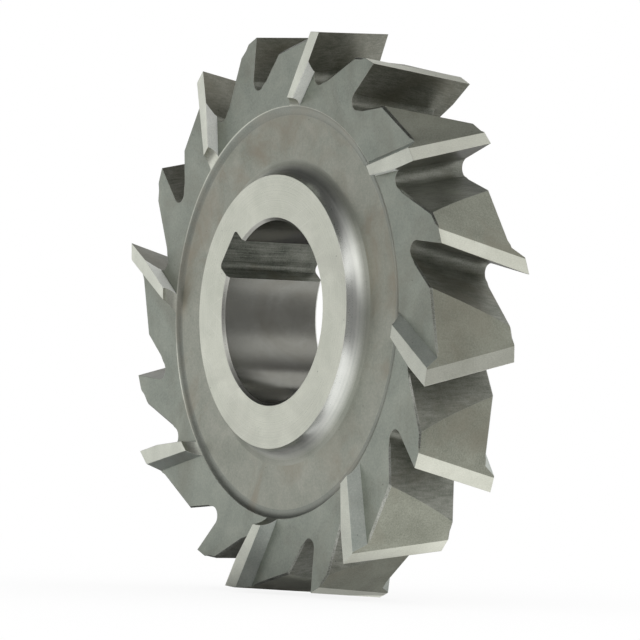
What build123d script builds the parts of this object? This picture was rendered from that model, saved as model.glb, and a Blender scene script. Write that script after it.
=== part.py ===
from build123d import *
from math import cos, degrees, radians, sin, tan
import os

# Side and face cutter with staggered teeth, made in one piece of hardened steel.
# The spin axis is Y and the origin is in the bore at half width, with Z up.
# Angles round the axis run from +X towards +Z. Seen from -Y, the teeth point clockwise.

# The blank: a wheel with a thick hub, a thinner web and a full-width rim
cutter_diameter = 100.0
cutter_width = 20.0
bore_diameter = 32.0
bore_chamfer = 0.5
hub_diameter = 48.0
rim_inner_diameter = 75.0
recess_depth = 3.0
recess_radius = 2.9

# The keyway, along the whole bore. Its height is from its floor to the far side of the bore.
keyway_width = 8.0
keyway_height = 34.8
keyway_corner = 0.8
keyway_angle = 143.5

# The teeth come in pairs: one cuts at the near face, on -Y, and the next at the far face
tooth_pairs = 8
first_tooth_angle = -11.25
helix_angle = 15.0

# The tooth outline, seen along the axis
rake_angle = 18.0
gullet_depth = 12.2
gullet_angle = 36.0
gullet_radius = 1.7
land_width = 2.7
land_clearance = 10.0
back_clearance = 27.0

# The side edge of a tooth, and what lies behind it on the face where the tooth cuts
side_land_width = 2.7
side_clearance = 5.0
side_dish = 0.7
side_step_run = 1.4
side_gash_depth = 2.5

# Under a slanting line on the cutting face, the side gash bites into the tooth and leaves a facet.
# The line's depth below the tip is measured along the cutting face, at the side and at the gash floor.
facet_side_depth = 5.7
facet_floor_depth = 8.1
facet_angle = 6.5

# The bevel round the rim of a side gash, along the backs of the teeth
edge_bevel = 0.3
bevel_runout = 1.2
bevel_gap = 0.3

# How far the shapes that are cut away run past the metal, and stay clear of the next tooth
overrun = 1.0
short_overrun = 0.3
next_tooth_gap = 1.5

cutter_radius = cutter_diameter / 2
half_width = cutter_width / 2
bore_radius = bore_diameter / 2
hub_radius = hub_diameter / 2
rim_inner_radius = rim_inner_diameter / 2
web_middle_radius = (hub_radius + rim_inner_radius) / 2
outside = cutter_radius + gullet_depth
pair_angle = 360 / tooth_pairs
turn_per_mm = degrees(tan(radians(helix_angle)) / cutter_radius)
gash_floor = half_width - side_gash_depth
land_slope = tan(radians(side_clearance))
land_fall = (side_land_width + short_overrun) * land_slope
step_foot = (side_land_width + side_step_run) / cos(radians(rake_angle))
facet_slope = (facet_floor_depth - facet_side_depth) / side_gash_depth
bevel_overrun = edge_bevel / 2

# How closely a corner's height has to match
match = 1e-6

# The two levels between which a near tooth's surfaces are drawn straight
tooth_levels = (-half_width - overrun, gash_floor + short_overrun)

# The two levels between which the front of a near side gash is drawn straight
gash_levels = (-half_width - overrun, short_overrun - gash_floor)


# A plane across the axis for a near tooth: x goes back along the rim, y out through its tip
def tooth_plane(y, ahead=0):
    turned = radians(first_tooth_angle + y * turn_per_mm + ahead)
    return Plane(origin=(0, y, 0), x_dir=(-sin(turned), 0, cos(turned)), z_dir=(0, 1, 0))


# A point that lies a distance from another, at an angle up from the x direction
def polar_point(start, distance, angle):
    return (start[0] + distance * cos(radians(angle)), start[1] + distance * sin(radians(angle)))


tip = (0.0, cutter_radius)
rake_direction = rake_angle - 90
gullet_direction = 90 + rake_angle + gullet_angle
gullet_corner = polar_point(tip, gullet_depth / cos(radians(rake_angle)), rake_direction)
gullet_start = polar_point(gullet_corner, gullet_radius / tan(radians(gullet_angle / 2)), gullet_direction)
gullet_run = (gullet_depth + overrun) / sin(radians(gullet_direction))
gullet_end = polar_point(gullet_corner, gullet_run, gullet_direction)
land_back = polar_point(tip, land_width / cos(radians(land_clearance)), -land_clearance)


# The point on a tooth's back line a distance along the rim from its tip
def back_point(along):
    return (along, land_back[1] - (along - land_back[0]) * tan(radians(back_clearance)))


# How far back a tooth's outline may run before the tip of the next tooth, which leans the other way
def back_limit(y):
    next_tip = radians(pair_angle / 2 - 2 * y * turn_per_mm)
    return cutter_radius * sin(next_tip) - next_tooth_gap


# The corners of a strip along a line of the tooth outline, as deep as the bevel is at one level.
# The strip's own start is slanted, so that the bevel grows from nothing over its run-out.
def strip_corners(start, end, direction, inward, depth):
    shape = []
    for level in (depth, -edge_bevel):
        first = polar_point(start, bevel_gap + level * bevel_runout / edge_bevel, direction)
        row = [polar_point(corner, level, inward) for corner in (first, end)]
        shape = row + shape[::-1]
    return shape


with BuildPart() as blank:
    with BuildSketch(Plane.XY):
        with BuildLine():
            Polyline(
                (bore_radius, 0),
                (bore_radius, bore_chamfer - half_width),
                (bore_radius + bore_chamfer, -half_width),
                (hub_radius, -half_width),
                (hub_radius, recess_depth - half_width),
                (rim_inner_radius, recess_depth - half_width),
                (rim_inner_radius, -half_width),
                (cutter_radius, -half_width),
                (cutter_radius, 0),
                close=True,
            )
        make_face()
        corners = [v for v in vertices() if abs(v.Y - recess_depth + half_width) < match]
        fillet(corners, radius=recess_radius)
        mirror(about=Plane.XZ)
    revolve(axis=Axis.Y)

with BuildPart() as keyway:
    turned = radians(keyway_angle)
    key_plane = Plane(origin=(0, 0, 0), x_dir=(cos(turned), 0, sin(turned)), z_dir=(0, 1, 0))
    with BuildSketch(key_plane):
        keyway_floor = keyway_height - bore_radius
        with Locations((keyway_floor / 2, 0)):
            Rectangle(keyway_floor, keyway_width)
        fillet(vertices().group_by(Axis.X)[-1], radius=keyway_corner)
    extrude(amount=half_width + overrun, both=True)

# The space that leaves the gullet in front of a near tooth, its land and its back
with BuildPart() as tooth_space:
    for y in tooth_levels:
        back_end = back_point(back_limit(y))
        with BuildSketch(tooth_plane(y)):
            with BuildLine():
                Polyline(
                    tip,
                    land_back,
                    back_end,
                    (back_end[0], outside),
                    (gullet_end[0], outside),
                    gullet_end,
                    gullet_corner,
                    close=True,
                )
            make_face()
            fillet(vertices().sort_by_distance(Vertex(0, 0, 0))[0], radius=gullet_radius)
    loft(ruled=True)


# The plane across a near tooth's side edge: x goes back along the face, y into the metal
def side_plane(dish):
    turned = radians(first_tooth_angle - half_width * turn_per_mm)
    along = Vector(-sin(turned), 0, cos(turned))
    out = Vector(cos(turned), 0, sin(turned))
    rake = radians(rake_angle)
    back = along * cos(rake) + out * sin(rake)
    inward = along * sin(rake) - out * cos(rake)
    edge = inward * cos(radians(dish)) + Vector(0, sin(radians(dish)), 0)
    side_tip = out * cutter_radius - Vector(0, half_width, 0)
    return Plane(origin=side_tip - edge * (outside - cutter_radius), x_dir=back, z_dir=edge)


# The thin space over a near tooth's side land
with BuildPart() as side_land_space:
    with BuildSketch(side_plane(side_dish)):
        land_end = side_land_width + side_step_run
        with BuildLine():
            Polyline(
                (-short_overrun, 0),
                (land_end, (land_end + short_overrun) * land_slope),
                (land_end, -overrun),
                (-short_overrun, -overrun),
                close=True,
            )
        make_face()
    extrude(amount=outside - web_middle_radius)

# The wide side gash: a steep step behind the side land, then a flat floor up to the next near tooth
with BuildPart() as side_gash:
    with BuildSketch(side_plane(0)):
        step_slope = side_step_run / (side_gash_depth - land_fall)
        with BuildLine():
            Polyline(
                (side_land_width - (land_fall + overrun) * step_slope, -overrun),
                (side_land_width + side_step_run, side_gash_depth),
                (cutter_diameter, side_gash_depth),
                (cutter_diameter, -overrun),
                close=True,
            )
        make_face()
    extrude(amount=cutter_diameter)
    facet_direction = rake_direction + facet_angle
    for y in gash_levels:
        facet_depth = facet_side_depth + (y + half_width) * facet_slope
        facet_top = polar_point(tip, facet_depth, rake_direction)
        facet_start = polar_point(facet_top, -overrun, facet_direction)
        with BuildSketch(tooth_plane(y, ahead=pair_angle)):
            with BuildLine():
                Polyline(
                    polar_point(facet_start, cutter_radius, rake_direction + 180 + gullet_angle / 2),
                    facet_start,
                    polar_point(facet_top, cutter_radius, facet_direction),
                    (-cutter_diameter, 0),
                    (-cutter_diameter, outside),
                    close=True,
                )
            make_face()
    loft(ruled=True, mode=Mode.INTERSECT)
    with BuildSketch(Plane.XZ):
        Circle(outside)
        Circle(web_middle_radius, mode=Mode.SUBTRACT)
    extrude(amount=cutter_width, both=True, mode=Mode.INTERSECT)

# The bevels where the gash floors meet the back of a near tooth and the back of its gullet
with BuildPart() as bevel_space:
    for side, first in ((-1, step_foot), (1, land_back[0])):
        last = back_limit(side * gash_floor)
        back_line = (back_point(first), back_point(last), -back_clearance, -90 - back_clearance)
        gullet_line = (gullet_start, gullet_end, gullet_direction, gullet_direction + 90)
        for line in (back_line, gullet_line):
            for inset in (-bevel_overrun, edge_bevel + bevel_overrun):
                with BuildSketch(tooth_plane(side * (gash_floor - inset))):
                    with BuildLine():
                        Polyline(*strip_corners(*line, edge_bevel - inset), close=True)
                    make_face()
            loft(ruled=True)

near_spaces = [tooth_space.part, side_land_space.part, side_gash.part, bevel_space.part]
with BuildPart() as cutter:
    add(blank.part)
    add(keyway.part, mode=Mode.SUBTRACT)
    for pair in range(tooth_pairs):
        for space in near_spaces:
            near = space.rotate(Axis.Y, -pair * pair_angle)
            far = space.mirror(Plane.XZ).rotate(Axis.Y, -(pair + 0.5) * pair_angle)
            add([near, far], mode=Mode.SUBTRACT)

cutter.part.label = "cutter"
os.makedirs("parts", exist_ok=True)
export_step(cutter.part, "parts/cutter.step")
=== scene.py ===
import math
import bmesh
import bpy
from mathutils import Matrix, Vector


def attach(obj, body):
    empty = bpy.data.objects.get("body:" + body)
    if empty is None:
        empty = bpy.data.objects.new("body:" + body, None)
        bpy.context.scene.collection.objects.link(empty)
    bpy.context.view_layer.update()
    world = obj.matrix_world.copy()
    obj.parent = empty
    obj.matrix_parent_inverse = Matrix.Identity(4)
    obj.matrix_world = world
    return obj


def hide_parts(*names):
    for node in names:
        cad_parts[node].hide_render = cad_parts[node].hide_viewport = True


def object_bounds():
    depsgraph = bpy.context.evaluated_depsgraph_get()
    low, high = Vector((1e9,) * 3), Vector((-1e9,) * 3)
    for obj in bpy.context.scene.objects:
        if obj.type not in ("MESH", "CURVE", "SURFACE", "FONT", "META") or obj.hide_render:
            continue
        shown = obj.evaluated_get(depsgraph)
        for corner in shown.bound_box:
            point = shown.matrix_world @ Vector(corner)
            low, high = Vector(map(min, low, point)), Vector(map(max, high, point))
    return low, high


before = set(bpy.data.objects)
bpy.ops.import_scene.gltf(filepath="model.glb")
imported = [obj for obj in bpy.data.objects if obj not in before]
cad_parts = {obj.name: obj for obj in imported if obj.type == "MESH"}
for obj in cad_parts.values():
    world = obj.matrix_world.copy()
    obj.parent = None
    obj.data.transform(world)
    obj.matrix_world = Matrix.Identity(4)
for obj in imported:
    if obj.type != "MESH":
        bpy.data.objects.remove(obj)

cadLow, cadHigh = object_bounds()
mmPerMetre = 1000
noiseMiddle = 0.5
print("frame loaded")


# Adds one node. Its values are numbers, colours or the sockets that feed it.
def addNode(tree, kind, values=None, **settings):
    node = tree.nodes.new("ShaderNode" + kind)
    for name, value in settings.items():
        setattr(node, name, value)
    for name, value in (values or {}).items():
        if isinstance(value, bpy.types.NodeSocket):
            tree.links.new(value, node.inputs[name])
        else:
            node.inputs[name].default_value = value
    return node


def doMaths(tree, operation, first, second=0.0, third=0.0, clamp=False):
    values = {0: first, 1: second, 2: third}
    return addNode(tree, "Math", values, operation=operation, use_clamp=clamp).outputs[0]


def remap(tree, value, low, high, newLow=0.0, newHigh=1.0):
    values = {"Value": value, "From Min": low, "From Max": high, "To Min": newLow, "To Max": newHigh}
    return addNode(tree, "MapRange", values, clamp=True).outputs["Result"]


def addNoise(tree, place, scale, look):
    return addNode(tree, "TexNoise", {"Vector": place, "Scale": scale, **look}).outputs["Fac"]


# How far a place lies from the spin axis
def distanceOut(tree, place):
    parts = addNode(tree, "SeparateXYZ", {0: place}).outputs
    flat = addNode(tree, "CombineXYZ", {"X": parts["X"], "Z": parts["Z"]}).outputs[0]
    return addNode(tree, "VectorMath", {0: flat}, operation="LENGTH").outputs["Value"]


# An empty node group. An input starts at its number here, or is a vector.
def newGroup(name, inputs, outputs):
    tree = bpy.data.node_groups.new(name, "ShaderNodeTree")
    for inOut, sockets in (("INPUT", inputs), ("OUTPUT", outputs)):
        for socketName, start in sockets.items():
            kind = "NodeSocketVector" if start == "vector" else "NodeSocketFloat"
            socket = tree.interface.new_socket(socketName, in_out=inOut, socket_type=kind)
            if kind == "NodeSocketFloat" and inOut == "INPUT":
                socket.default_value = start
    return tree, tree.nodes.new("NodeGroupInput").outputs, tree.nodes.new("NodeGroupOutput").inputs


# Lines round the spin axis, as a lathe or a face grinder leaves them. All lengths in groups are mm.
turnedLinesLook = {
    "ringNoise": {"Scale": 1.0, "Detail": 2.0},
    "gapScale": 0.35,
    "gapNoise": {"Detail": 3.0},
    "gapRange": (0.35, 0.65),
}


def makeTurnedLines():
    d = turnedLinesLook
    tree, given, put = newGroup(
        "turnedLines", {"Vector": "vector", "Spacing": 0.2, "Broken": 0.4}, {"Lines": 0.0})
    turns = doMaths(tree, "DIVIDE", distanceOut(tree, given["Vector"]), given["Spacing"])
    rings = addNode(tree, "TexNoise", {"W": turns, **d["ringNoise"]}, noise_dimensions="1D").outputs["Fac"]
    gaps = addNoise(tree, given["Vector"], d["gapScale"], d["gapNoise"])
    drop = doMaths(tree, "MULTIPLY", remap(tree, gaps, *d["gapRange"]), given["Broken"])
    swing = doMaths(tree, "SUBTRACT", rings, noiseMiddle)
    kept = doMaths(tree, "MULTIPLY", swing, doMaths(tree, "SUBTRACT", 1.0, drop))
    tree.links.new(doMaths(tree, "ADD", kept, noiseMiddle), put["Lines"])
    return tree


# Streaks along one direction, as milling and surface grinding leave them
streaksLook = {"Detail": 3.0, "Roughness": 0.6}


def makeStreaks():
    tree, given, put = newGroup(
        "streaks", {"Vector": "vector", "Spacing": 0.3, "Stretch": "vector"}, {"Lines": 0.0})
    squeezed = addNode(tree, "VectorMath", {0: given["Vector"], 1: given["Stretch"]}, operation="MULTIPLY")
    scale = doMaths(tree, "DIVIDE", 1.0, given["Spacing"])
    tree.links.new(addNoise(tree, squeezed.outputs[0], scale, streaksLook), put["Lines"])
    return tree


# Cloudy tone from hardening, with a fine grain over it and larger stains
cloudsLook = {
    "patchNoise": {"Detail": 3.0, "Roughness": 0.55, "Distortion": 0.4},
    "grainNoise": {"Detail": 4.0, "Roughness": 0.7},
    "stainNoise": {"Detail": 4.0, "Roughness": 0.6, "Distortion": 0.8},
    "stainScale": 0.4,  # for each patch size
    "toneRange": (0.28, 0.72),
    "stainRange": (0.48, 0.66),
}


def makeClouds():
    d = cloudsLook
    tree, given, put = newGroup(
        "clouds", {"Vector": "vector", "Patch Size": 6.0, "Grain Size": 0.25},
        {"Tone": 0.0, "Grain": 0.0, "Stain": 0.0})
    patchScale = doMaths(tree, "DIVIDE", 1.0, given["Patch Size"])
    patches = addNoise(tree, given["Vector"], patchScale, d["patchNoise"])
    grainScale = doMaths(tree, "DIVIDE", 1.0, given["Grain Size"])
    grain = addNoise(tree, given["Vector"], grainScale, d["grainNoise"])
    stainScale = doMaths(tree, "DIVIDE", d["stainScale"], given["Patch Size"])
    stain = addNoise(tree, given["Vector"], stainScale, d["stainNoise"])
    tree.links.new(remap(tree, patches, *d["toneRange"]), put["Tone"])
    tree.links.new(grain, put["Grain"])
    tree.links.new(remap(tree, stain, *d["stainRange"]), put["Stain"])
    return tree


# Worn where two faces meet at an outer edge, broken up a little, and with painted shade in the inner
# corners, darker where the surroundings close in
edgeWearAndCornerShadeLook = {
    "samples": 4,
    "edgeRange": (0.995, 0.86),  # how alike the rounded and the plain normal are: unworn, fully worn
    "chipScale": 1.6,
    "chipNoise": {"Detail": 3.0},
    "chipRange": (0.35, 0.65),
    "reach": 5.0,  # how far the surroundings count, in widths of the wear
    "outerRange": (0.80, 0.95),  # openness of an inner and of an outer edge
    "cornerShadeRange": (0.85, 0.35),  # openness of an unshaded place and of a place in full painted shade
}


def makeEdgeWearAndCornerShade():
    d = edgeWearAndCornerShadeLook
    tree, given, put = newGroup(
        "edgeWearAndCornerShade", {"Vector": "vector", "Width": 0.12, "Broken": 0.5},
        {"Mask": 0.0, "Corner Shade": 0.0, "Normal": "vector"})
    radius = doMaths(tree, "DIVIDE", given["Width"], mmPerMetre)
    rounded = addNode(tree, "Bevel", {"Radius": radius}, samples=d["samples"]).outputs[0]
    plain = addNode(tree, "NewGeometry").outputs["Normal"]
    same = addNode(tree, "VectorMath", {0: rounded, 1: plain}, operation="DOT_PRODUCT").outputs["Value"]
    edge = remap(tree, same, *d["edgeRange"])
    chips = addNoise(tree, given["Vector"], d["chipScale"], d["chipNoise"])
    chipped = doMaths(tree, "MULTIPLY", remap(tree, chips, *d["chipRange"]), given["Broken"])
    kept = doMaths(tree, "SUBTRACT", 1.0, chipped)
    reach = doMaths(tree, "MULTIPLY", radius, d["reach"])
    around = addNode(tree, "AmbientOcclusion", {"Distance": reach}, samples=d["samples"], only_local=True)
    openness = around.outputs["AO"]
    outer = doMaths(tree, "MULTIPLY", edge, remap(tree, openness, *d["outerRange"]))
    tree.links.new(doMaths(tree, "MULTIPLY", outer, kept), put["Mask"])
    tree.links.new(remap(tree, openness, *d["cornerShadeRange"]), put["Corner Shade"])
    tree.links.new(rounded, put["Normal"])
    return tree


# A few pits, a share of the cells of a given spacing
pitRange = (1.0, 0.5)  # where a pit starts and where it is deepest, as shares of its size


def makePits():
    tree, given, put = newGroup(
        "pits", {"Vector": "vector", "Spacing": 2.5, "Size": 0.18, "Share": 0.3}, {"Mask": 0.0})
    scale = doMaths(tree, "DIVIDE", 1.0, given["Spacing"])
    cells = addNode(tree, "TexVoronoi", {"Vector": given["Vector"], "Scale": scale}, feature="F1").outputs
    across = doMaths(tree, "MULTIPLY", cells["Distance"], given["Spacing"])
    spot = remap(tree, doMaths(tree, "DIVIDE", across, given["Size"]), *pitRange)
    chosen = addNode(tree, "SeparateColor", {0: cells["Color"]}).outputs[0]
    on = doMaths(tree, "LESS_THAN", chosen, given["Share"])
    tree.links.new(doMaths(tree, "MULTIPLY", spot, on), put["Mask"])
    return tree


# Thin scratches from handling, in a few directions round the spin axis
scratchesLook = {
    "angles": (0.4, 1.5, 2.6),
    "noise": {"Detail": 0.0},
    "range": (0.72, 0.80),
}


def makeScratches():
    d = scratchesLook
    tree, given, put = newGroup(
        "scratches", {"Vector": "vector", "Length": 10.0, "Width": 0.16}, {"Mask": 0.0})
    mask = 0.0
    for angle in d["angles"]:
        values = {"Vector": given["Vector"], "Angle": angle}
        turned = addNode(tree, "VectorRotate", values, rotation_type="Y_AXIS").outputs[0]
        parts = addNode(tree, "SeparateXYZ", {0: turned}).outputs
        along = doMaths(tree, "DIVIDE", parts["X"], given["Length"])
        across = doMaths(tree, "DIVIDE", parts["Z"], given["Width"])
        place = addNode(tree, "CombineXYZ", {"X": along, "Y": across, "Z": parts["Y"]}).outputs[0]
        scratch = remap(tree, addNoise(tree, place, 1.0, d["noise"]), *d["range"])
        mask = doMaths(tree, "MAXIMUM", scratch, mask)
    tree.links.new(mask, put["Mask"])
    return tree


groups = {tree.name: tree for tree in (
    makeTurnedLines(), makeStreaks(), makeClouds(), makeEdgeWearAndCornerShade(), makePits(), makeScratches())}
print("effect groups made")


def useGroup(tree, name, values):
    return addNode(tree, "Group", values, node_tree=groups[name]).outputs


# One entry for each finish: colours (dark, light, worn edge, stain), how strongly it is stained,
# roughness (low, high), the kind of marks, their spacing and depth in mm. Some are less metallic because
# they scatter light, and some are scratched or are brushed by turning. Outwards, a fillet's finish
# becomes another one between two radii (mm): matt at the web, and at the rim's edge a lighter, smoother band
# that is a painted glint along that edge.
steelFinishes = {
    "hubFace": {"dark": (0.51, 0.53, 0.455), "light": (0.70, 0.71, 0.62), "worn": (0.80, 0.80, 0.74),
                "stain": (0.44, 0.44, 0.39), "stained": 0.3, "rough": (0.26, 0.36), "scratched": 0.3,
                "marks": "turned", "spacing": 0.16, "depth": 0.0022},
    "hubFillet": {"dark": (0.80, 0.82, 0.78), "light": (0.95, 0.96, 0.92), "worn": (0.96, 0.96, 0.92),
                  "stain": (0.66, 0.66, 0.62), "stained": 0.2, "rough": (0.22, 0.32), "brushed": 0.75,
                  "marks": "turned", "spacing": 0.25, "depth": 0.0003,
                  "becomes": "web", "between": (23.8, 26.0)},
    "web": {"dark": (0.33, 0.35, 0.30), "light": (0.50, 0.505, 0.44), "worn": (0.45, 0.45, 0.4),
            "stain": (0.35, 0.31, 0.24), "stained": 0.7, "rough": (0.42, 0.54),
            "marks": "plain", "spacing": 0.4, "depth": 0.002},
    # Its outer edge turns into the lighter side land finish over a thin band: a painted glint along the
    # rim's edge
    "rimFillet": {"dark": (0.24, 0.26, 0.23), "light": (0.34, 0.35, 0.31), "worn": (0.55, 0.55, 0.5),
                  "stain": (0.32, 0.29, 0.23), "stained": 0.5, "rough": (0.36, 0.46),
                  "marks": "plain", "spacing": 0.3, "depth": 0.001,
                  "becomes": "sideLand", "between": (36.0, 36.2)},
    "bore": {"dark": (0.19, 0.19, 0.17), "light": (0.29, 0.29, 0.265), "worn": (0.7, 0.7, 0.66),
             "stain": (0.18, 0.17, 0.14), "stained": 0.5, "rough": (0.16, 0.26), "brushed": 0.7,
             "marks": "turned", "spacing": 0.3, "depth": 0.0006},
    "boreChamfer": {"dark": (0.50, 0.50, 0.46), "light": (0.62, 0.62, 0.57), "worn": (0.75, 0.75, 0.7),
                    "stain": (0.45, 0.45, 0.4), "stained": 0.2, "rough": (0.25, 0.35),
                    "marks": "turned", "spacing": 0.2, "depth": 0.001},
    "keyway": {"dark": (0.10, 0.11, 0.09), "light": (0.38, 0.39, 0.34), "worn": (0.6, 0.6, 0.56),
               "stain": (0.24, 0.21, 0.15), "stained": 0.7, "rough": (0.38, 0.54), "metal": 0.75,
               "marks": "axial", "spacing": 0.35, "depth": 0.004},
    "land": {"dark": (0.62, 0.63, 0.54), "light": (0.80, 0.81, 0.71), "worn": (0.88, 0.88, 0.8),
             "stain": (0.50, 0.50, 0.42), "stained": 0.3, "rough": (0.30, 0.42), "metal": 0.85,
             "marks": "ground", "spacing": 0.10, "depth": 0.0015},
    "sideLand": {"dark": (0.60, 0.62, 0.545), "light": (0.80, 0.82, 0.725), "worn": (0.85, 0.85, 0.8),
                 "stain": (0.44, 0.45, 0.40), "stained": 0.3, "rough": (0.3, 0.42),
                 "marks": "ground", "spacing": 0.10, "depth": 0.0015},
    "sideStep": {"dark": (0.38, 0.42, 0.38), "light": (0.54, 0.57, 0.52), "worn": (0.7, 0.7, 0.66),
                 "stain": (0.32, 0.32, 0.28), "stained": 0.4, "rough": (0.32, 0.44), "metal": 0.75,
                 "marks": "plain", "spacing": 0.3, "depth": 0.002},
    # Near-white and barely metallic: a painted glint on the side facets of the near teeth
    "facet": {"dark": (0.78, 0.80, 0.76), "light": (0.97, 0.98, 0.94), "worn": (0.97, 0.97, 0.93),
              "stain": (0.60, 0.60, 0.54), "stained": 0.3, "rough": (0.28, 0.4), "metal": 0.2,
              "marks": "plain", "spacing": 0.25, "depth": 0.002},
    "back": {"dark": (0.245, 0.255, 0.205), "light": (0.41, 0.42, 0.35), "worn": (0.6, 0.6, 0.55),
             "stain": (0.29, 0.27, 0.21), "stained": 0.5, "rough": (0.42, 0.56), "metal": 0.85,
             "marks": "plain", "spacing": 0.3, "depth": 0.003},
    # Also given to the far side's facets, as painted shade
    "rakeAndShadedFacet": {"dark": (0.14, 0.145, 0.115), "light": (0.32, 0.32, 0.275), "worn": (0.6, 0.6, 0.56),
             "stain": (0.17, 0.16, 0.12), "stained": 0.5, "rough": (0.34, 0.48), "metal": 0.8,
             "marks": "axial", "spacing": 0.35, "depth": 0.005},
    "gullet": {"dark": (0.16, 0.17, 0.14), "light": (0.38, 0.385, 0.34), "worn": (0.6, 0.6, 0.56),
               "stain": (0.20, 0.19, 0.145), "stained": 0.5, "rough": (0.4, 0.55), "metal": 0.8,
               "marks": "axial", "spacing": 0.45, "depth": 0.006},
    "gashFloor": {"dark": (0.29, 0.32, 0.28), "light": (0.44, 0.465, 0.405), "worn": (0.6, 0.6, 0.56),
                  "stain": (0.25, 0.245, 0.20), "stained": 0.4, "rough": (0.4, 0.52),
                  "marks": "plain", "spacing": 0.4, "depth": 0.002},
    "bevel": {"dark": (0.16, 0.17, 0.145), "light": (0.58, 0.59, 0.54), "worn": (0.75, 0.75, 0.7),
              "stain": (0.22, 0.22, 0.18), "stained": 0.5, "rough": (0.3, 0.42),
              "marks": "plain", "spacing": 0.2, "depth": 0.001},
}

# What every finish shares. The fine pattern is made up of grain and marks.
steelMix = {
    "markStretch": {"axial": (1, 0.05, 1), "ground": (1, 0.25, 1), "plain": (1, 1, 1)},  # below 1 is longer
    "grainShare": 0.5,
    "markShare": 0.5,
    "fineRange": (0.3, 0.7),
    "fineTone": (-0.4, 0.8),  # what the fine pattern adds to the tone, from low to high
    "cloudTone": 0.6,
    "pitDirt": 0.6,
    "cornerShade": 0.5,
    "dirtAndShadeColour": 0.35,  # times the finish's dark colour
    "wear": 0.7,
    "pitRelief": -2.0,
    "scratchRelief": -0.5,
    "brushTurn": 0.25,  # of a full turn: highlights stretch across the turned lines
}


# Inputs 6 and 7 and output 2 are the ones for colours
def mixColours(tree, factor, first, second):
    values = {"Factor": factor, 6: first, 7: second}
    return addNode(tree, "Mix", values, data_type="RGBA").outputs[2]


def addMarks(tree, d, place):
    values = {"Vector": place, "Spacing": d["spacing"]}
    if d["marks"] == "turned":
        return useGroup(tree, "turnedLines", values)["Lines"]
    values["Stretch"] = steelMix["markStretch"][d["marks"]]
    return useGroup(tree, "streaks", values)["Lines"]


# A finish's colour and roughness before stains, dirt and wear
def addBareSteel(tree, d, tone, fine):
    colour = mixColours(tree, tone, (*d["dark"], 1), (*d["light"], 1))
    return colour, remap(tree, fine, *steelMix["fineRange"], *d["rough"])


def makeSteel(name):
    d = steelFinishes[name]
    mix = steelMix
    material = bpy.data.materials.new(name + "Steel")
    material.use_nodes = True
    tree = material.node_tree
    shader = tree.nodes["Principled BSDF"]
    shader.inputs["Metallic"].default_value = d.get("metal", 1.0)
    metres = addNode(tree, "TexCoord").outputs["Object"]
    place = addNode(tree, "Mapping", {"Vector": metres, "Scale": (mmPerMetre,) * 3}).outputs[0]
    clouds = useGroup(tree, "clouds", {"Vector": place})
    edges = useGroup(tree, "edgeWearAndCornerShade", {"Vector": place})
    pits = useGroup(tree, "pits", {"Vector": place})["Mask"]
    marks = doMaths(tree, "MULTIPLY", addMarks(tree, d, place), mix["markShare"])
    fine = doMaths(tree, "MULTIPLY_ADD", clouds["Grain"], mix["grainShare"], marks)
    spread = remap(tree, fine, *mix["fineRange"], *mix["fineTone"])
    tone = doMaths(tree, "MULTIPLY_ADD", clouds["Tone"], mix["cloudTone"], spread, clamp=True)
    colour, roughness = addBareSteel(tree, d, tone, fine)
    if "becomes" in d:
        otherColour, otherRoughness = addBareSteel(tree, steelFinishes[d["becomes"]], tone, fine)
        share = remap(tree, distanceOut(tree, place), *d["between"])
        colour = mixColours(tree, share, colour, otherColour)
        kept = doMaths(tree, "MULTIPLY", roughness, doMaths(tree, "SUBTRACT", 1.0, share))
        roughness = doMaths(tree, "MULTIPLY_ADD", otherRoughness, share, kept)
    stained = doMaths(tree, "MULTIPLY", clouds["Stain"], d["stained"])
    colour = mixColours(tree, stained, colour, (*d["stain"], 1))
    # Pits are darkened with dirt, and the inner corners with painted shade
    cornerShade = doMaths(tree, "MULTIPLY", edges["Corner Shade"], mix["cornerShade"])
    dirtAndShade = doMaths(tree, "MAXIMUM", doMaths(tree, "MULTIPLY", pits, mix["pitDirt"]), cornerShade)
    colour = mixColours(tree, dirtAndShade, colour, (*[mix["dirtAndShadeColour"] * part for part in d["dark"]], 1))
    worn = doMaths(tree, "MULTIPLY", edges["Mask"], mix["wear"])
    relief = doMaths(tree, "MULTIPLY_ADD", pits, mix["pitRelief"], fine)
    if "scratched" in d:
        scratches = useGroup(tree, "scratches", {"Vector": place})["Mask"]
        worn = doMaths(tree, "MAXIMUM", worn, doMaths(tree, "MULTIPLY", scratches, d["scratched"]))
        relief = doMaths(tree, "MULTIPLY_ADD", scratches, mix["scratchRelief"], relief)
    colour = mixColours(tree, worn, colour, (*d["worn"], 1))
    tree.links.new(colour, shader.inputs["Base Color"])
    tree.links.new(roughness, shader.inputs["Roughness"])
    if "brushed" in d:
        shader.inputs["Anisotropic"].default_value = d["brushed"]
        shader.inputs["Anisotropic Rotation"].default_value = mix["brushTurn"]
        around = addNode(tree, "Tangent", direction_type="RADIAL", axis="Y").outputs[0]
        tree.links.new(around, shader.inputs["Tangent"])
    bump = addNode(tree, "Bump", {"Height": relief, "Strength": 1.0, "Distance": d["depth"] / mmPerMetre,
                                  "Normal": edges["Normal"]})
    tree.links.new(bump.outputs[0], shader.inputs["Normal"])
    return material


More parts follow.
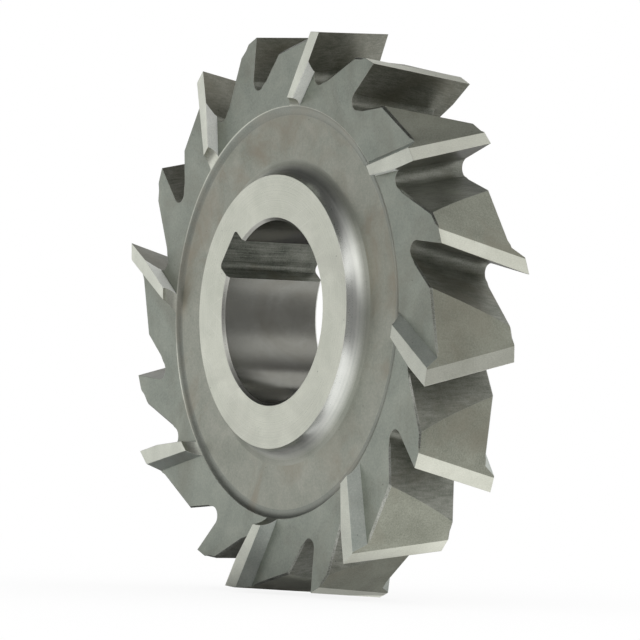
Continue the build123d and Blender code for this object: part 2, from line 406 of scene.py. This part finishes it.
# The cutter stands on its teeth, with its spin axis along Y and its origin in the bore. Metres.
cutterBody = {
    "name": "cutterBody",
    "boreRadius": 0.016,
    "boreChamfer": 0.0005,
    "hubRadius": 0.024,
    "rimRadius": 0.0375,  # where the recess ends and the rim begins
    "recessDepth": 0.003,
    "filletRadius": 0.0029,
    "filletLean": {"hubFillet": 0.8},  # a share of its lean, as polishing leaves it
    "keywayReach": 0.020,  # the keyway stays inside this radius
    "gashDepth": 0.0025,  # from the side faces
    "cutterRadius": 0.050,
    "landRun": 0.0009,  # how far below the tips a land may start
    "ridgeRadius": 0.0445,  # the backs stay outside this, the gullets reach inside it
    "flatness": {"side": 0.97, "bevel": 0.64, "sideStep": 0.42, "facet": 0.2},  # 1 faces along the spin axis
    "closeness": 2e-5,  # how near a corner lies to the surface that it belongs to
    "mergeDistance": 1e-6,
    "splitAngle": 6.0,  # degrees: faces that meet flatter than this belong to one surface
    "sharpAngle": 25.0,  # degrees: edges that stay sharp within one finish
    "finishAngle": 4.0,  # degrees: edges that stay sharp between two finishes
}


# The turned surfaces in the section through the axis, as (radius, distance from half width): a point of
# each flat one with the way that it faces, and the centre of each fillet
def turnedSections():
    d = cutterBody
    halfWidth = cadHigh.y
    recessLevel = halfWidth - d["recessDepth"]
    filletLevel = recessLevel + d["filletRadius"]
    flats = {
        "bore": ((d["boreRadius"], 0), (-1, 0)),
        "boreChamfer": ((d["boreRadius"], halfWidth - d["boreChamfer"]), (-1, 1)),
        "hubFace": ((d["hubRadius"], halfWidth), (0, 1)),
        "web": ((d["hubRadius"], recessLevel), (0, 1)),
    }
    fillets = {
        "hubFillet": (d["hubRadius"] + d["filletRadius"], filletLevel),
        "rimFillet": (d["rimRadius"] - d["filletRadius"], filletLevel),
    }
    return flats, fillets


turnedFlats, turnedFillets = turnedSections()


def sectionPoint(place):
    return Vector((math.hypot(place.x, place.z), abs(place.y)))


# How far a point of the section lies off a turned surface, and which way that surface faces there
def turnedSurface(finish, point):
    if finish in turnedFillets:
        toCentre = Vector(turnedFillets[finish]) - point
        return abs(toCentre.length - cutterBody["filletRadius"]), toCentre.normalized()
    start, facing = turnedFlats[finish]
    facing = Vector(facing).normalized()
    return abs(facing.dot(point - Vector(start))), facing


# Which way a turned surface faces at a place, or with a share below 1, a little more along the axis
def turnedNormal(finish, place, leanShare=1.0):
    out, up = turnedSurface(finish, sectionPoint(place))[1]
    lean = math.atan2(out, up) * leanShare
    outward = Vector((place.x, 0, place.z)).normalized()
    return outward * math.sin(lean) + Vector((0, math.copysign(math.cos(lean), place.y), 0))


def finishOfTurnedFace(face):
    d = cutterBody
    centre = face.calc_center_median()
    for finish in (*turnedFlats, *turnedFillets):
        off = max(turnedSurface(finish, sectionPoint(v.co))[0] for v in face.verts)
        turn = face.normal.angle(turnedNormal(finish, centre))
        if off < d["closeness"] and turn < math.radians(d["sharpAngle"]):
            return finish
    return None


# Gathers the faces that run on smoothly from a first one
def growSurface(start, splitAngle, done):
    surface = [start]
    done.add(start)
    for face in surface:
        for edge in face.edges:
            if edge.calc_face_angle() < splitAngle:
                for other in edge.link_faces:
                    if other not in done:
                        done.add(other)
                        surface.append(other)
    return surface


def finishOfSurface(surface):
    d = cutterBody
    flatness = d["flatness"]
    gashLevel = cadHigh.y - d["gashDepth"]
    area = sum(face.calc_area() for face in surface)
    flat = sum(abs(face.normal.y) * face.calc_area() for face in surface) / area
    places = [v.co for face in surface for v in face.verts]
    corners = [sectionPoint(place) for place in places]
    lowest = min(c.x for c in corners)
    highest = max(c.x for c in corners)
    innermost = min(c.y for c in corners)
    levels = [place.y for place in places]
    besideGash = innermost > gashLevel - d["closeness"] and min(levels) * max(levels) > 0
    if highest < d["keywayReach"]:
        return "keyway"
    if flat > flatness["side"]:
        return "gashFloor" if innermost < gashLevel + d["closeness"] else "sideLand"
    if lowest > d["cutterRadius"] - d["landRun"]:
        return "land"
    if flat > flatness["bevel"]:
        return "bevel"
    if flat > flatness["sideStep"]:
        return "sideStep"
    # The near side's facets get the painted glint; the far side's facets get the dark rake finish as painted
    # shade
    if besideGash and flat < flatness["facet"]:
        return "facet" if max(levels) < 0 else "rakeAndShadedFacet"
    if lowest > d["ridgeRadius"]:
        return "back"
    return "rakeAndShadedFacet" if highest > d["cutterRadius"] - d["landRun"] else "gullet"


# The turned surfaces are shaded as true rings, the hub's fillets a little flatter, the others as they come
def keepTurnedNormals(mesh, finishes):
    normals = [Vector(corner.vector) for corner in mesh.corner_normals]
    for polygon in mesh.polygons:
        finish = finishes[polygon.material_index]
        if finish in turnedFlats or finish in turnedFillets:
            leanShare = cutterBody["filletLean"].get(finish, 1.0)
            for loop in polygon.loop_indices:
                place = mesh.vertices[mesh.loops[loop].vertex_index].co
                normals[loop] = turnedNormal(finish, place, leanShare)
    mesh.normals_split_custom_set(normals)


def addObject(name, data):
    added = bpy.data.objects.new(name, data)
    bpy.context.scene.collection.objects.link(added)
    return added


def makeCutterBody():
    d = cutterBody
    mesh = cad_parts["cutter"].data.copy()
    mesh.name = d["name"]
    bm = bmesh.new()
    bm.from_mesh(mesh)
    bmesh.ops.remove_doubles(bm, verts=bm.verts, dist=d["mergeDistance"])
    finishes = list(steelFinishes)
    done = set()
    for face in bm.faces:
        finish = finishOfTurnedFace(face)
        if finish:
            done.add(face)
            face.material_index = finishes.index(finish)
    print("turned faces", len(done))
    count = {}
    for start in bm.faces:
        if start not in done:
            surface = growSurface(start, math.radians(d["splitAngle"]), done)
            finish = finishOfSurface(surface)
            count[finish] = count.get(finish, 0) + 1
            for face in surface:
                face.material_index = finishes.index(finish)
    print("other surfaces", count)
    for edge in bm.edges:
        one, other = edge.link_faces
        same = one.material_index == other.material_index
        limit = d["sharpAngle"] if same else d["finishAngle"]
        edge.smooth = edge.calc_face_angle() < math.radians(limit)
    for face in bm.faces:
        face.smooth = True
    mesh.materials.clear()
    for finish in finishes:
        mesh.materials.append(makeSteel(finish))
    bm.to_mesh(mesh)
    bm.free()
    keepTurnedNormals(mesh, finishes)
    return addObject(d["name"], mesh)


cutter = makeCutterBody()
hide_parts("cutter")
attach(cutter, "root")
print("cutter body made")

# The camera of the photograph: a long lens, level with the bore and round to the right
photoView = {
    "azimuth": 57.11,
    "elevation": -0.951,
    "roll": 1.862,
    "distance": 0.9156,
    "lens": 292.9,
    "shift": (0.0011, -0.0099),
    "clip": (0.05, 60.0),
}


def makeCamera():
    d = photoView
    data = bpy.data.cameras.new("photoCamera")
    data.lens = d["lens"]
    data.shift_x, data.shift_y = d["shift"]
    data.clip_start, data.clip_end = d["clip"]
    camera = addObject("photoCamera", data)
    turn = Matrix.Rotation(math.radians(d["azimuth"]), 4, "Z")
    tilt = Matrix.Rotation(math.radians(90 - d["elevation"]), 4, "X")
    roll = Matrix.Rotation(math.radians(d["roll"]), 4, "Z")
    camera.matrix_world = turn @ tilt @ roll @ Matrix.Translation((0, 0, d["distance"]))
    bpy.context.scene.camera = camera


makeCamera()
print("camera placed")

# The studio: a white floor and background, soft boxes, and dark cards that give the metal its contrast. The
# cards lying on the floor under and beside the cutter are painted shadow, seen only in the metal's
# reflections.
# Cards are given in degrees as seen from the cutter: across from +X towards +Y, and up from the level.
# Their rims fade over the degrees of soft. Lengths are metres.
studio = {
    "floorSize": 30.0,
    "floorColour": (0.95, 0.95, 0.95),
    "floorGlow": 0.86,  # how much of the floor near the cutter is plain white, without shadow
    "floorFade": (0.07, 0.30),  # how far from the bore the floor starts to turn plain white, and where it is
    "white": (1, 1, 1, 1),
    "roomLight": 1.0,
    "boxes": {
        "frontBox": {"towards": (0.06, -0.94, 0.33), "distance": 1.1, "size": 0.4, "radiance": 1.2},
        "backBox": {"towards": (-0.10, 0.62, 0.78), "distance": 1.4, "size": 0.6, "radiance": 1.0},
    },
    "cardDistance": 1.6,
    "cardLift": 0.0004,  # how far a card stays above the floor
    "cardCells": (60, 40),
    "cards": {
        "upperLeftCard": {"across": (164, 256), "up": (10, 84), "soft": 8, "grey": 0.03},
        "backLeftCard": {"across": (96, 172), "up": (30, 84), "soft": 10, "grey": 0.06},
        # Painted shadow and a painted reflection of the cutter, on the floor beside it
        "lowerLeftShadowCard": {"across": (84, 262), "up": (-90, -36), "soft": 10, "grey": 0.06},
        "backLowCard": {"across": (84, 206), "up": (-90, -9), "soft": 8, "grey": 0.05},
        # Painted shadow on the floor under the cutter
        "underShadowCard": {"across": (84, 294), "up": (-90, -50), "soft": 20, "grey": 0.12},
        # Painted shadow where the teeth touch the floor
        "contactShadowCard": {"across": (-66, 84), "up": (-90, -57), "soft": 7, "grey": 0.4},
        "overheadCard": {"across": (-180, 180), "up": (40, 90), "soft": 18, "grey": 0.08},
        "backRightCard": {"across": (60, 104), "up": (12, 62), "soft": 10, "grey": 0.5},
        "frontCard": {"across": (-124, -60), "up": (-14, 13), "soft": 6, "grey": 0.25},
        "frontTopCard": {"across": (-130, -62), "up": (28, 60), "soft": 12, "grey": 0.3},
        "rightCard": {"across": (-75, 45), "up": (-28, 30), "soft": 11, "grey": 0.24},
        "nearCard": {"across": (-138, -126), "up": (-14, 45), "soft": 4, "grey": 0.08, "distance": 0.35},
    },
}


def seenDirectly(tree):
    path = addNode(tree, "LightPath").outputs
    straight = doMaths(tree, "MAXIMUM", path["Is Camera Ray"], path["Is Glossy Ray"])
    return doMaths(tree, "MAXIMUM", straight, path["Is Transmission Ray"])


def makeRoom():
    d = studio
    world = bpy.data.worlds.new("room")
    bpy.context.scene.world = world
    world.use_nodes = True
    tree = world.node_tree
    tree.nodes.clear()
    white = addNode(tree, "Background", {"Color": d["white"], "Strength": 1.0}).outputs[0]
    light = addNode(tree, "Background", {"Color": d["white"], "Strength": d["roomLight"]}).outputs[0]
    mixed = addNode(tree, "MixShader", {"Fac": seenDirectly(tree), 1: light, 2: white}).outputs[0]
    addNode(tree, "OutputWorld", {"Surface": mixed})


# A material of the studio that mixes two shaders, made by a function of its node tree
def makeStageMaterial(name, addShaders):
    material = bpy.data.materials.new(name)
    material.use_nodes = True
    tree = material.node_tree
    tree.nodes.clear()
    factor, first, second = addShaders(tree)
    mixed = addNode(tree, "MixShader", {"Fac": factor, 1: first, 2: second}).outputs[0]
    addNode(tree, "OutputMaterial", {"Surface": mixed})
    return material


def addStagePiece(name, bm, material):
    mesh = bpy.data.meshes.new(name)
    bm.to_mesh(mesh)
    bm.free()
    mesh.materials.append(material)
    piece = addObject(name, mesh)
    return piece


# Paper that takes the cutter's shadow near it and, seen directly, turns plain white further out
def addPaper(tree):
    d = studio
    place = addNode(tree, "TexCoord").outputs["Object"]
    away = addNode(tree, "VectorMath", {0: place}, operation="LENGTH").outputs["Value"]
    plain = remap(tree, away, *d["floorFade"], d["floorGlow"], 1.0)
    factor = doMaths(tree, "MULTIPLY", seenDirectly(tree), plain)
    paper = addNode(tree, "BsdfDiffuse", {"Color": (*d["floorColour"], 1)}).outputs[0]
    glow = addNode(tree, "Emission", {"Color": d["white"], "Strength": 1.0}).outputs[0]
    return factor, paper, glow


def makeFloor():
    bm = bmesh.new()
    bmesh.ops.create_grid(bm, x_segments=1, y_segments=1, size=studio["floorSize"] / 2)
    bmesh.ops.translate(bm, vec=(0, 0, cadLow.z), verts=bm.verts)
    addStagePiece("floor", bm, makeStageMaterial("floorPaper", addPaper))


# Moves a corner of a unit grid to its direction, on the far sphere or just above the floor, and tells
# how much of the card is there: none at its rim, all of it inside
def placeCardCorner(corner, d):
    across, up = (low + (high - low) * (part + 0.5)
                  for (low, high), part in zip((d["across"], d["up"]), corner.co.xy))
    flat = math.cos(math.radians(up))
    towards = Vector((flat * math.cos(math.radians(across)), flat * math.sin(math.radians(across)),
                      math.sin(math.radians(up))))
    distance = d.get("distance", studio["cardDistance"])
    if towards.z < 0:
        distance = min(distance, (cadLow.z + studio["cardLift"]) / towards.z)
    corner.co = towards * distance
    left, right = d["across"]
    lowest, highest = d["up"]
    rim = min(up - lowest if lowest > -90 else 90, highest - up if highest < 90 else 90)
    if right - left < 360:
        rim = min(rim, across - left, right - across)
    return min(rim / d["soft"], 1.0)


def makeCard(name, d):
    # A grey glow seen only in reflections: dark felt for the cards in the air, painted shadow for those on
    # the floor
    def addFeltAndShadowSheet(tree):
        cover = addNode(tree, "Attribute", attribute_name="cover").outputs["Fac"]
        clear = addNode(tree, "BsdfTransparent").outputs[0]
        feltAndShadow = addNode(tree, "Emission", {"Color": (d["grey"], d["grey"], d["grey"], 1)}).outputs[0]
        return cover, clear, feltAndShadow

    bm = bmesh.new()
    cellsAcross, cellsUp = studio["cardCells"]
    bmesh.ops.create_grid(bm, x_segments=cellsAcross, y_segments=cellsUp, size=0.5)
    cover = bm.verts.layers.float.new("cover")
    for corner in bm.verts:
        corner[cover] = placeCardCorner(corner, d)
    card = addStagePiece(name, bm, makeStageMaterial(name + "FeltAndShadow", addFeltAndShadowSheet))
    card.visible_camera = False
    card.visible_diffuse = False
    card.visible_shadow = False


def makeSoftBox(name, d):
    light = bpy.data.lights.new(name, "AREA")
    light.shape = "SQUARE"
    light.size = d["size"]
    light.energy = d["radiance"] * math.pi * d["size"] ** 2  # the watts that give it this radiance
    lamp = addObject(name, light)
    direction = Vector(d["towards"]).normalized()
    lamp.rotation_mode = "QUATERNION"
    lamp.rotation_quaternion = direction.to_track_quat("Z", "Y")
    lamp.location = direction * d["distance"]
    lamp.visible_camera = False


makeRoom()
makeFloor()
for cardName, cardFacts in studio["cards"].items():
    makeCard(cardName, cardFacts)
for boxName, boxFacts in studio["boxes"].items():
    makeSoftBox(boxName, boxFacts)
print("studio made")

bpy.context.scene.view_settings.view_transform = "Standard"
